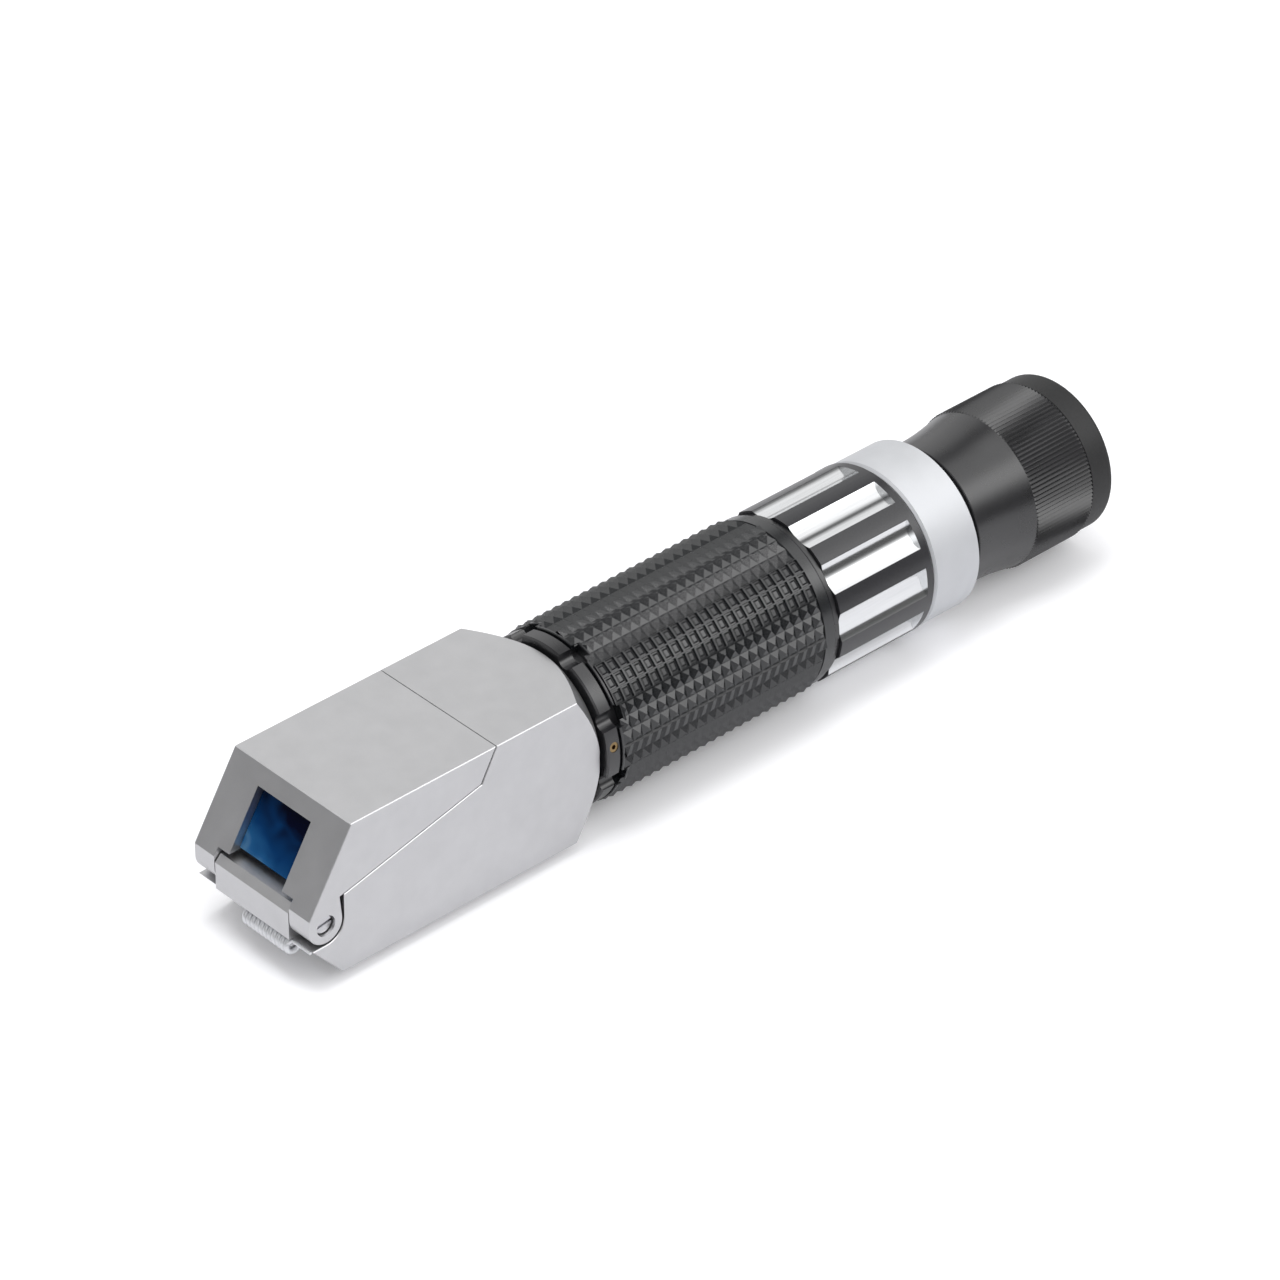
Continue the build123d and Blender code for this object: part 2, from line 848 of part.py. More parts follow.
def field_lens_x():
    return lens_cell_x + lens_retainer_length + seat_gap


def eye_lens_x():
    return lens_cell_end - lens_cell_lip - seat_gap - eye_lens_thickness


def field_lens():
    start = field_lens_x()
    return lens(start, start + field_lens_thickness, 0, field_lens_bulge, lens_radius)


def eye_lens():
    start = eye_lens_x()
    return lens(start, start + eye_lens_thickness, eye_lens_bulge, 0, lens_radius)


def lens_spacer():
    inner = lens_radius - lens_cell_lip_width
    start = field_lens_x() + field_lens_thickness - sag(field_lens_bulge, lens_radius, inner) + seat_gap
    end = eye_lens_x() + sag(eye_lens_bulge, lens_radius, inner) - seat_gap
    return tube(start, end, lens_radius, inner)


def lens_retainer():
    return tube(lens_cell_x, lens_cell_x + lens_retainer_length, lens_radius, retainer_bore_radius)


NODES = {
    "prism_housing": prism_housing,
    "prism_flap": prism_flap,
    "window_glass": window_glass,
    "illuminating_prism": illuminating_prism,
    "measuring_prism": measuring_prism,
    "prism_seal": prism_seal,
    "hinge_screws": hinge_screws,
    "flap_spring": flap_spring,
    "barrel_tube": barrel_tube,
    "barrel_o_ring": barrel_o_ring,
    "locking_collar": locking_collar,
    "collar_grub_screw": collar_grub_screw,
    "rubber_grip": rubber_grip,
    "adjusting_ring": adjusting_ring,
    "drive_pin": drive_pin,
    "compensator_cell": compensator_cell,
    "compensator_prism": compensator_prism,
    "objective_cell": objective_cell,
    "objective_crown_lens": objective_crown_lens,
    "objective_flint_lens": objective_flint_lens,
    "objective_retainer": objective_retainer,
    "reticle_cell": reticle_cell,
    "reticle_disc": reticle_disc,
    "reticle_retainer": reticle_retainer,
    "eyepiece_mount": eyepiece_mount,
    "eyepiece_body": eyepiece_body,
    "eyecup": eyecup,
    "lens_cell": lens_cell,
    "lens_retainer": lens_retainer,
    "field_lens": field_lens,
    "lens_spacer": lens_spacer,
    "eye_lens": eye_lens,
}

os.makedirs("parts", exist_ok=True)
solids = {name: build() for name, build in NODES.items()}
table_z = min(solid.bounding_box().min.Z for solid in solids.values())
for name, solid in solids.items():
    export_step(Pos(-middle_x, 0, -table_z) * solid, f"parts/{name}.step")
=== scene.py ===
import math

import bmesh
import bpy
from mathutils import Matrix, Vector


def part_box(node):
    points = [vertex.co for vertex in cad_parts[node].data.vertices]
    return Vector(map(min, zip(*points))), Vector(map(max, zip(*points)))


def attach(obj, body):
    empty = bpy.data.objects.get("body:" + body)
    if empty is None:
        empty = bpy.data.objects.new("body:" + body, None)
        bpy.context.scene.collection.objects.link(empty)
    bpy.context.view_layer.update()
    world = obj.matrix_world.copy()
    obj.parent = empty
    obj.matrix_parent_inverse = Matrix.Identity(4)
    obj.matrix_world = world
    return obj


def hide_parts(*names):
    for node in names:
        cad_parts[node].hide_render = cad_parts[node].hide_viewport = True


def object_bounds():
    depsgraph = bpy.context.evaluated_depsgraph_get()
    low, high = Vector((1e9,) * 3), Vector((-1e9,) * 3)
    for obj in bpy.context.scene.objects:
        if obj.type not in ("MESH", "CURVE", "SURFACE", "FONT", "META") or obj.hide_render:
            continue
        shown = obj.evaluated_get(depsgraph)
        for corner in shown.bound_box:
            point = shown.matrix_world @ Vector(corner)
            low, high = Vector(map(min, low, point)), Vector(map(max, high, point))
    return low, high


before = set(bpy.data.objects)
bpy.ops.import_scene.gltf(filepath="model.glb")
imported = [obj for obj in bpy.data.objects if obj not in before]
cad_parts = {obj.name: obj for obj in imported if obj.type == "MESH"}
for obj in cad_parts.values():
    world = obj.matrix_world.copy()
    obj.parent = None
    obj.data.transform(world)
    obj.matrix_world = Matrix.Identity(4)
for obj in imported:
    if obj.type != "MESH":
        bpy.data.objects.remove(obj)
cad_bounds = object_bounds()

MM = 0.001

# Places read from the CAD nodes
ring_low, ring_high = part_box("adjusting_ring")
flap_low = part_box("prism_flap")[0]
body_low, body_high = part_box("eyepiece_body")
AXIS_Z = (body_low[2] + body_high[2]) / 2

# Places below are millimetres from the optical axis and, along it, from the flap's top front edge
EDGE_BEHIND_NOSE = 10.2
ZERO_X = flap_low[0] + EDGE_BEHIND_NOSE * MM


def row_point(x, y, z):
    # From millimetres on the optical axis to metres in the shared frame
    return Vector((ZERO_X + x * MM, y * MM, AXIS_Z + z * MM))


def polar_point(x, radius, angle):
    # Clock angle in degrees: 90 is the top, 180 is -Y
    turn = math.radians(angle)
    return row_point(x, radius * math.cos(turn), radius * math.sin(turn))


def new_object(name, data):
    made = bpy.data.objects.new(name, data)
    bpy.context.scene.collection.objects.link(made)
    return made


# Node helpers, which add a node to a tree and mostly return its output

def feed(tree, value, socket):
    # The output of a node is linked to the socket, and a number or a colour is set on it
    if isinstance(value, bpy.types.NodeSocket):
        tree.links.new(value, socket)
    else:
        socket.default_value = value


def calculate(tree, operation, *values):
    node = tree.nodes.new("ShaderNodeMath")
    node.operation = operation
    for value, socket in zip(values, node.inputs):
        feed(tree, value, socket)
    return node.outputs[0]


def combine_vectors(tree, operation, first, second):
    node = tree.nodes.new("ShaderNodeVectorMath")
    node.operation = operation
    feed(tree, first, node.inputs[0])
    feed(tree, second, node.inputs[1])
    return node.outputs[0]


def vector_length(tree, vector):
    node = tree.nodes.new("ShaderNodeVectorMath")
    node.operation = "LENGTH"
    tree.links.new(vector, node.inputs[0])
    return node.outputs["Value"]


def split_vector(tree, vector):
    node = tree.nodes.new("ShaderNodeSeparateXYZ")
    tree.links.new(vector, node.inputs[0])
    return node.outputs["X"], node.outputs["Y"], node.outputs["Z"]


def mix_colours(tree, factor, first, second, blend="MIX"):
    node = tree.nodes.new("ShaderNodeMix")
    node.data_type = "RGBA"
    node.blend_type = blend
    feed(tree, factor, node.inputs["Factor"])
    feed(tree, first, node.inputs["A"])
    feed(tree, second, node.inputs["B"])
    return node.outputs["Result"]


def object_coordinates(tree, scale=(1, 1, 1)):
    source = tree.nodes.new("ShaderNodeTexCoord")
    mapping = tree.nodes.new("ShaderNodeMapping")
    mapping.inputs["Scale"].default_value = scale
    tree.links.new(source.outputs["Object"], mapping.inputs["Vector"])
    return mapping.outputs["Vector"]


def noise(tree, vector, scale, detail=3.0, roughness=0.5, distortion=0.0):
    node = tree.nodes.new("ShaderNodeTexNoise")
    node.inputs["Scale"].default_value = scale
    node.inputs["Detail"].default_value = detail
    node.inputs["Roughness"].default_value = roughness
    node.inputs["Distortion"].default_value = distortion
    tree.links.new(vector, node.inputs["Vector"])
    return node.outputs["Fac"]


def colour_ramp(tree, value, stops):
    node = tree.nodes.new("ShaderNodeValToRGB")
    elements = node.color_ramp.elements
    while len(elements) < len(stops):
        elements.new(0.5)
    for element, (position, colour) in zip(elements, stops):
        element.position = position
        element.color = (*colour, 1.0)
    tree.links.new(value, node.inputs["Fac"])
    return node.outputs["Color"]


def grey_ramp(tree, value, stops):
    return colour_ramp(tree, value, [(position, (level, level, level)) for position, level in stops])


def value_range(tree, value, low, high, from_low=0.0, from_high=1.0):
    node = tree.nodes.new("ShaderNodeMapRange")
    node.inputs["From Min"].default_value = from_low
    node.inputs["From Max"].default_value = from_high
    node.inputs["To Min"].default_value = low
    node.inputs["To Max"].default_value = high
    tree.links.new(value, node.inputs["Value"])
    return node.outputs["Result"]


def add_bump(tree, shader, height, strength, distance):
    node = tree.nodes.new("ShaderNodeBump")
    node.inputs["Strength"].default_value = strength
    node.inputs["Distance"].default_value = distance
    tree.links.new(height, node.inputs["Height"])
    tree.links.new(node.outputs["Normal"], shader.inputs["Normal"])


# Materials

METAL_GRAIN_DEPTH = 0.02 * MM
RUBBER_GRAIN_DEPTH = 0.05 * MM
# The slow change of tone on metal is this many times as wide as its grain
CLOUD_WIDTH = 40


def new_material(name):
    material = bpy.data.materials.new(name)
    material.use_nodes = True
    tree = material.node_tree
    return material, tree, tree.nodes["Principled BSDF"]


def metal(name, dark, light, rough, grain_scale, grain_bump, metallic=1.0, ior=1.5):
    material, tree, shader = new_material(name)
    vector = object_coordinates(tree)
    grain = noise(tree, vector, grain_scale, 4.0, 0.6)
    cloud = noise(tree, vector, grain_scale / CLOUD_WIDTH, 2.0)
    half_grain = value_range(tree, grain, 0.0, 0.5)
    half_cloud = value_range(tree, cloud, 0.0, 0.5)
    tone = calculate(tree, "ADD", half_grain, half_cloud)
    feed(tree, colour_ramp(tree, tone, [(0.3, dark), (0.7, light)]), shader.inputs["Base Color"])
    feed(tree, value_range(tree, cloud, *rough), shader.inputs["Roughness"])
    shader.inputs["Metallic"].default_value = metallic
    shader.inputs["IOR"].default_value = ior
    add_bump(tree, shader, grain, grain_bump, METAL_GRAIN_DEPTH)
    return material


def rubber(name, dark, light, rough, grain_scale, ior=1.5):
    material, tree, shader = new_material(name)
    grain = noise(tree, object_coordinates(tree), grain_scale, 5.0, 0.65)
    feed(tree, colour_ramp(tree, grain, [(0.3, dark), (0.75, light)]), shader.inputs["Base Color"])
    feed(tree, value_range(tree, grain, *rough), shader.inputs["Roughness"])
    shader.inputs["IOR"].default_value = ior
    add_bump(tree, shader, grain, 0.2, RUBBER_GRAIN_DEPTH)
    return material


def satin_head():
    return metal("satin_metal", (0.60, 0.60, 0.61), (0.66, 0.66, 0.67), (0.36, 0.42), 9000, 0.12)


def satin_ring():
    return metal("satin_ring", (0.68, 0.69, 0.71), (0.73, 0.74, 0.76), (0.6, 0.68), 9000, 0.2)


def black_anodised():
    dark, light = (0.008, 0.008, 0.009), (0.016, 0.016, 0.018)
    return metal("black_anodised", dark, light, (0.24, 0.32), 7000, 0.2, metallic=0.0, ior=1.75)


def turned_steel():
    return metal("turned_steel", (0.5, 0.5, 0.52), (0.68, 0.68, 0.7), (0.25, 0.35), 6000, 0.2)


def bright_wire():
    return metal("bright_wire", (0.72, 0.73, 0.75), (0.85, 0.86, 0.88), (0.3, 0.4), 5000, 0.1, metallic=0.6)


def turned_brass():
    return metal("turned_brass", (0.24, 0.16, 0.08), (0.36, 0.26, 0.13), (0.3, 0.4), 5000, 0.2)


def grip_rubber():
    return rubber("grip_rubber", (0.004, 0.005, 0.006), (0.012, 0.013, 0.015), (0.2, 0.3), 3500, ior=1.75)


def seal_rubber():
    return rubber("seal_rubber", (0.008, 0.008, 0.008), (0.018, 0.018, 0.019), (0.45, 0.6), 2500)


def optical_glass():
    material, tree, shader = new_material("optical_glass")
    haze = noise(tree, object_coordinates(tree), 120, 2.0)
    tint = colour_ramp(tree, haze, [(0.3, (0.80, 0.90, 0.95)), (0.8, (0.88, 0.95, 0.98))])
    feed(tree, tint, shader.inputs["Base Color"])
    feed(tree, value_range(tree, haze, 0.02, 0.06), shader.inputs["Roughness"])
    shader.inputs["Transmission Weight"].default_value = 0.9
    shader.inputs["IOR"].default_value = 1.52
    return material


# Tones of the window's blue glass with painted light in it, from its darkest part, painted shade up on the -Y
# side, to its palest, a painted reflection
WINDOW_BLUES_AND_PAINTED_LIGHT = [
    (0.1, (0.0, 0.001, 0.012)),
    (0.4, (0.001, 0.03, 0.11)),
    (0.7, (0.012, 0.08, 0.21)),
    (0.9, (0.09, 0.2, 0.32)),
]
PAINTED_REFLECTION_SHARE = 0.7


def window_blue_painted_light():
    # Deep blue glass with painted light: the paler swirl low down is a painted reflection, and the darkening
    # up towards the -Y side is painted shade
    material, tree, shader = new_material("window_blue_painted_light")
    low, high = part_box("window_glass")
    source = tree.nodes.new("ShaderNodeTexCoord")
    y, z = split_vector(tree, source.outputs["Object"])[1:]
    down = value_range(tree, z, 0.0, 1.0, high[2], low[2])
    across = value_range(tree, y, 0.0, 1.0, low[1], high[1])
    place = tree.nodes.new("ShaderNodeCombineXYZ")
    feed(tree, across, place.inputs["X"])
    feed(tree, down, place.inputs["Y"])
    # Painted reflection: a swirl of paler and darker blue across the window
    painted_reflection_swirl = noise(tree, place.outputs[0], 2.2, 1.0, distortion=0.8)
    # Painted shade: darker up high and towards -Y, paler low down
    painted_shade_slant = calculate(tree, "ADD", value_range(tree, down, -0.25, 0.4), value_range(tree, across, -0.2, 0.08))
    tone = calculate(tree, "MULTIPLY_ADD", painted_reflection_swirl, PAINTED_REFLECTION_SHARE, painted_shade_slant)
    feed(tree, colour_ramp(tree, tone, WINDOW_BLUES_AND_PAINTED_LIGHT), shader.inputs["Base Color"])
    shader.inputs["Roughness"].default_value = 0.08
    shader.inputs["Specular IOR Level"].default_value = 0.1
    return material


# The ring's machined zone, in millimetres: below its outside, above its bore and clear of both ends
FLUTE_SKIN = 0.04
FLUTE_REACH = 1.5
RING_REAR_RIM = 1.85
RING_FRONT_SKIN = 0.01


def flute_mask(tree):
    source = tree.nodes.new("ShaderNodeTexCoord")
    centred = combine_vectors(tree, "SUBTRACT", source.outputs["Object"], (0, 0, AXIS_Z))
    distance = vector_length(tree, combine_vectors(tree, "MULTIPLY", centred, (0, 1, 1)))
    x = split_vector(tree, centred)[0]
    radius = (ring_high[1] - ring_low[1]) / 2
    mask = calculate(tree, "LESS_THAN", distance, radius - FLUTE_SKIN * MM)
    for test in (
        calculate(tree, "GREATER_THAN", distance, radius - FLUTE_REACH * MM),
        calculate(tree, "LESS_THAN", x, ring_high[0] - RING_REAR_RIM * MM),
        calculate(tree, "GREATER_THAN", x, ring_low[0] + RING_FRONT_SKIN * MM),
    ):
        mask = calculate(tree, "MULTIPLY", mask, test)
    return mask


def fluted_ring():
    # Black on the full diameter and bright metal wherever the flutes are cut in
    material, tree, shader = new_material("fluted_ring")
    mask = flute_mask(tree)
    streak = noise(tree, object_coordinates(tree, (0.04, 1, 1)), 1600, 3.0, 0.6)
    bright = colour_ramp(tree, streak, [(0.3, (0.80, 0.81, 0.82)), (0.7, (0.88, 0.89, 0.90))])
    speck = noise(tree, object_coordinates(tree), 6000, 3.0, 0.6)
    black = colour_ramp(tree, speck, [(0.3, (0.010, 0.010, 0.012)), (0.7, (0.03, 0.03, 0.034))])
    feed(tree, mix_colours(tree, mask, black, bright), shader.inputs["Base Color"])
    feed(tree, mask, shader.inputs["Metallic"])
    feed(tree, value_range(tree, mask, 0.3, 0.14), shader.inputs["Roughness"])
    shader.inputs["IOR"].default_value = 1.65
    add_bump(tree, shader, streak, 0.05, METAL_GRAIN_DEPTH)
    return material


SATIN = satin_head()
RING_SATIN = satin_ring()
BLACK = black_anodised()
STEEL = turned_steel()
WIRE = bright_wire()
BRASS = turned_brass()
GRIP = grip_rubber()
SEAL = seal_rubber()
GLASS = optical_glass()
BLUE_WITH_PAINTED_LIGHT = window_blue_painted_light()
FLUTED = fluted_ring()

NODE_MATERIALS = {
    "prism_housing": SATIN,
    "prism_flap": SATIN,
    "window_glass": BLUE_WITH_PAINTED_LIGHT,
    "illuminating_prism": GLASS,
    "measuring_prism": GLASS,
    "prism_seal": SEAL,
    "hinge_screws": STEEL,
    "barrel_tube": BLACK,
    "barrel_o_ring": SEAL,
    "locking_collar": BLACK,
    "collar_grub_screw": BRASS,
    "adjusting_ring": FLUTED,
    "drive_pin": STEEL,
    "compensator_cell": BLACK,
    "compensator_prism": GLASS,
    "objective_cell": BLACK,
    "objective_crown_lens": GLASS,
    "objective_flint_lens": GLASS,
    "objective_retainer": BLACK,
    "reticle_cell": BLACK,
    "reticle_disc": GLASS,
    "reticle_retainer": BLACK,
    "eyepiece_mount": RING_SATIN,
    "eyecup": SEAL,
    "lens_cell": BLACK,
    "lens_retainer": BLACK,
    "field_lens": GLASS,
    "lens_spacer": BLACK,
    "eye_lens": GLASS,
}
for node_name, material in NODE_MATERIALS.items():
    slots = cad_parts[node_name].data.materials
    slots.clear()
    slots.append(material)


# Pieces

class Shell:
    """Vertices and faces gathered for one piece."""

    def __init__(self):
        self.vertices = []
        self.faces = []

    def face(self, *points):
        start = len(self.vertices)
        self.vertices.extend(points)
        self.faces.append(tuple(range(start, start + len(points))))

    def join_around(self, sections):
        # Skins closed sections, each to the next one and the last to the first
        count = len(sections[0])
        for i, here in enumerate(sections):
            there = sections[(i + 1) % len(sections)]
            for n in range(count):
                m = (n + 1) % count
                self.face(here[n], here[m], there[m], there[n])


def shell_object(name, shell, material, body, replaced, smooth_angle=None):
    mesh = bpy.data.meshes.new(name)
    mesh.from_pydata([tuple(v) for v in shell.vertices], [], shell.faces)
    mesh.validate()
    piece = new_object(name, mesh)
    mesh.materials.append(material)
    welded = bmesh.new()
    welded.from_mesh(mesh)
    bmesh.ops.remove_doubles(welded, verts=welded.verts, dist=1e-6)
    bmesh.ops.recalc_face_normals(welded, faces=welded.faces)
    welded.to_mesh(mesh)
    welded.free()
    if smooth_angle:
        mesh.shade_smooth()
        mesh.set_sharp_from_angle(angle=math.radians(smooth_angle))
    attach(piece, body)
    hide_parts(*replaced)


# Grip: 40 rows of nine degrees, laid out as on the moulded sleeve
ROW = 9.0
ROW_START = 129.0
ROWS = 40
# The pattern of rows repeats after half a turn. A row's place is counted from a waffle panel's middle
REPEAT = 20
FIRST_PLACE = -11
WAFFLE_ROWS = {-1, 0, 1}
STRIP_ROWS = {-5: 1, 5: -1}

GRIP_X = 64.3
GRIP_END = 119.2
GRIP_BORE = 15.55
GRIP_BASE = 17.3
GRIP_LIP = 17.75
GRIP_RIM = 17.62

PATTERN_X = 64.9
PATTERN_END = 116.3
COLUMNS = 22
PITCH = (PATTERN_END - PATTERN_X) / COLUMNS
TIP = 18.19
VALLEY = 17.45

NOTCH_CENTRES = [108.2 + 45 * n for n in range(8)]
NOTCH_HALF = 7.0
NOTCH_DEPTH = 1.5
# The pattern starts this far behind the floor of a notch
NOTCH_MARGIN = 0.1

# A waffle's rim, wall, floor and low pad: the distance in from its edge, and the radius there
WAFFLE_FOOT = VALLEY - 0.1
WAFFLE_STEPS = [(0.0, 18.08), (0.12, 18.08), (0.22, 17.6), (0.5, 17.6), (0.8, 17.8)]

# A strip's ridge and foot as shares of its row, with the radii at the ends and the middle of a pitch
STRIP_RIDGE = 0.28
STRIP_FOOT = 0.9
STRIP_RIDGE_RADII = (18.15, 18.0, 18.15)
STRIP_FOOT_RADII = (17.62, 17.85, 17.62)


def near_notch(angle):
    return any(abs((angle - centre + 180) % 360 - 180) < NOTCH_HALF for centre in NOTCH_CENTRES)


def pyramid(shell, x0, x1, a0, a1):
    corners = [polar_point(x, VALLEY, a) for x, a in ((x0, a0), (x1, a0), (x1, a1), (x0, a1))]
    apex = polar_point((x0 + x1) / 2, TIP, (a0 + a1) / 2)
    for n in range(4):
        shell.face(corners[n], corners[(n + 1) % 4], apex)


def waffle(shell, x0, x1, a0, a1):
    rings = []
    for inset, radius in [(0.0, WAFFLE_FOOT)] + WAFFLE_STEPS:
        side = math.degrees(inset / TIP)
        low, high = a0 + side, a1 - side
        near, far = x0 + inset, x1 - inset
        corners = ((near, low), (far, low), (far, high), (near, high))
        rings.append([polar_point(x, radius, a) for x, a in corners])
    for outer, inner in zip(rings, rings[1:]):
        for n in range(4):
            shell.face(outer[n], outer[(n + 1) % 4], inner[(n + 1) % 4], inner[n])
    shell.face(*rings[-1])


def strip(shell, x0, x1, a0, a1, way):
    # A long ridge beside one edge of the row, with slanting nicks down its wide slope
    low, high = (a0, a1) if way > 0 else (a1, a0)
    ridge = low + (high - low) * STRIP_RIDGE
    foot = low + (high - low) * STRIP_FOOT
    stations = (x0, (x0 + x1) / 2, x1)
    base = [polar_point(x, VALLEY, low) for x in stations]
    top = [polar_point(x, radius, ridge) for x, radius in zip(stations, STRIP_RIDGE_RADII)]
    slope = [polar_point(x, radius, foot) for x, radius in zip(stations, STRIP_FOOT_RADII)]
    edge = [polar_point(x, VALLEY, high) for x in stations]
    for n in range(2):
        shell.face(base[n], base[n + 1], top[n + 1], top[n])
        shell.face(top[n], top[n + 1], slope[n + 1])
        shell.face(top[n], slope[n + 1], slope[n])
        shell.face(slope[n], slope[n + 1], edge[n + 1], edge[n])


def grip_pattern(shell):
    for row in range(-ROWS // 2, ROWS // 2):
        a0 = ROW_START + ROW * row
        a1 = a0 + ROW
        place = (row - FIRST_PLACE) % REPEAT + FIRST_PLACE
        for column in range(COLUMNS):
            x0 = PATTERN_X + PITCH * column
            x1 = x0 + PITCH
            if column == 0 and near_notch((a0 + a1) / 2):
                x0 = GRIP_X + NOTCH_DEPTH + NOTCH_MARGIN
            if place in WAFFLE_ROWS:
                waffle(shell, x0, x1, a0, a1)
            elif place in STRIP_ROWS:
                strip(shell, x0, x1, a0, a1, STRIP_ROWS[place])
            else:
                pyramid(shell, x0, x1, a0, a1)


def grip_base(shell):
    # A closed sleeve under the pattern, with a thin front lip cut by the notches and a plain rear rim
    angles = []
    for degree in range(360):
        angles.append(degree)
        if near_notch(degree) != near_notch(degree + 1):
            angles += [degree + 0.45, degree + 0.55]
    sections = []
    for angle in angles:
        start = GRIP_X + (NOTCH_DEPTH if near_notch(angle) else 0.0)
        outline = [
            (start, GRIP_BORE),
            (start, GRIP_LIP - 0.15),
            (start + 0.12, GRIP_LIP),
            (start + 0.45, GRIP_LIP),
            (start + 0.5, GRIP_BASE),
            (PATTERN_END - 0.05, GRIP_BASE),
            (PATTERN_END + 0.05, GRIP_RIM),
            (GRIP_END - 0.4, GRIP_RIM),
            (GRIP_END, GRIP_BASE),
            (GRIP_END, GRIP_BORE),
        ]
        sections.append([polar_point(x, radius, angle) for x, radius in outline])
    shell.join_around(sections)


def build_grip():
    shell = Shell()
    grip_pattern(shell)
    grip_base(shell)
    shell_object("grip_sleeve", shell, GRIP, "barrel", ("rubber_grip",))


build_grip()

# Eyepiece body, turned from the same profile as its solid, with a straight knurl
SPIGOT_X = 151.55
SPIGOT = 13.2
CONE_X = 160.05
CONE_FRONT = 15.2
CONE_REAR = 16.4
CONE_SAG = 0.42
CONE_STEPS = 12
CONE_EDGE = 0.15
KNURL_X = 174.45
KNURL_END = 190.05
KNURL_SLOPE = 0.35
KNURL_CREST = 16.7
KNURL_VALLEY = 16.25
KNURL_REAR = 16.3
TEETH = 120
BOSS_END = 192.55
BOSS = 13.4
LIGHT_BORE = 9.0
CELL_BORE = 11.55
CELL_BORE_END = 185.05
SHARP_ANGLE = 25


def cone_radius(share):
    return CONE_FRONT + (CONE_REAR - CONE_FRONT) * share - CONE_SAG * math.sin(math.pi * share)


def build_eyepiece():
    # X, the radius where a tooth has its crest and the radius where it has its valley
    front = [(SPIGOT_X, CELL_BORE), (SPIGOT_X, SPIGOT - 0.05), (SPIGOT_X + 0.25, SPIGOT), (CONE_X, SPIGOT)]
    front.append((CONE_X, CONE_FRONT - CONE_EDGE))
    cone_start = CONE_X + CONE_EDGE
    for n in range(CONE_STEPS + 1):
        share = n / CONE_STEPS
        front.append((cone_start + (KNURL_X - cone_start) * share, cone_radius(share)))
    rear = [(KNURL_END, KNURL_REAR), (KNURL_END, BOSS), (BOSS_END, BOSS), (BOSS_END, LIGHT_BORE)]
    rear += [(CELL_BORE_END, LIGHT_BORE), (CELL_BORE_END, CELL_BORE)]
    knurl = [(x, KNURL_CREST, KNURL_VALLEY) for x in (KNURL_X + KNURL_SLOPE, KNURL_END - KNURL_SLOPE)]
    outline = [(x, r, r) for x, r in front] + knurl + [(x, r, r) for x, r in rear]
    steps = TEETH * 2
    sections = []
    for n in range(steps):
        angle = 360 * n / steps
        sections.append([polar_point(x, crest if n % 2 else valley, angle) for x, crest, valley in outline])
    shell = Shell()
    shell.join_around(sections)
    shell_object("eyepiece_barrel", shell, BLACK, "eyepiece", ("eyepiece_body",), SHARP_ANGLE)


build_eyepiece()

# Flap spring: a close-wound coil in the groove under the lip, with a long leg on one side
LIP_TIP_X = -9.5
LIP_TIP_Z = -8.0
LIP_LEAN = 48.8
SPRING_TURNS = 12
SPRING_PITCH = 1.15
SPRING_HALF = SPRING_TURNS * SPRING_PITCH / 2
SPRING_MIDDLE = -3.3
SPRING_DROP = 2.9
SPRING_STAND = 1.1
SPRING_INSET = 0.55
COIL_RADIUS = 1.225
COIL_START = 100
COIL_STEPS = 24
WIRE_RADIUS = 0.56
LEG_RADIUS = 0.3
LEG_LENGTH = 5.3


def wire_object(name, points, material, body, replaced):
    # Each point comes with the wire's radius there
    radius = points[0][1]
    curve = bpy.data.curves.new(name, "CURVE")
    curve.dimensions = "3D"
    curve.bevel_depth = radius
    curve.bevel_resolution = 4
    curve.use_fill_caps = True
    line = curve.splines.new("POLY")
    line.points.add(len(points) - 1)
    for place, (point, thickness) in zip(line.points, points):
        place.co = (*point, 1.0)
        place.radius = thickness / radius
    source = new_object(name + "_line", curve)
    bpy.context.view_layer.update()
    mesh = bpy.data.meshes.new_from_object(source)
    bpy.data.objects.remove(source)
    mesh.name = name
    mesh.materials.clear()
    mesh.materials.append(material)
    mesh.shade_smooth()
    piece = new_object(name, mesh)
    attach(piece, body)
    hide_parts(*replaced)


def build_spring():
    lean = math.radians(LIP_LEAN)
    x = LIP_TIP_X + SPRING_DROP * math.cos(lean) - SPRING_STAND * math.sin(lean)
    z = LIP_TIP_Z - SPRING_DROP * math.sin(lean) - SPRING_STAND * math.cos(lean)
    start = SPRING_MIDDLE + SPRING_HALF - SPRING_INSET
    points = []
    for n in range((SPRING_TURNS - 1) * COIL_STEPS + 1):
        turn = 2 * math.pi * n / COIL_STEPS + math.radians(COIL_START)
        y = start - SPRING_PITCH * n / COIL_STEPS
        centre = row_point(x + COIL_RADIUS * math.cos(turn), y, z + COIL_RADIUS * math.sin(turn))
        points.append((centre, WIRE_RADIUS * MM))
    # The leg leaves the last turn over the lip's tip and runs on along it
    leg = [
        (LIP_TIP_X - 0.9, y - 0.3, LIP_TIP_Z - 1.2),
        (LIP_TIP_X - 0.2, y - 0.9, LIP_TIP_Z - 0.4),
        (LIP_TIP_X - 0.15, y - 1.8, LIP_TIP_Z - 0.36),
        (LIP_TIP_X - 0.15, SPRING_MIDDLE - SPRING_HALF - LEG_LENGTH, LIP_TIP_Z - 0.36),
    ]
    points += [(row_point(*place), LEG_RADIUS * MM) for place in leg]
    wire_object("flap_spring_wire", points, WIRE, "barrel", ("flap_spring",))


build_spring()


# Floor: paper that glows a little where it is seen, and is greyer in the part's reflections
FLOOR_REACH = 0.5
FLOOR_GAP = 0.0001
PAPER = (0.93, 0.93, 0.95, 1)
PAPER_REFLECTED = (0.66, 0.66, 0.68, 1)
PAPER_GLOW = 0.12


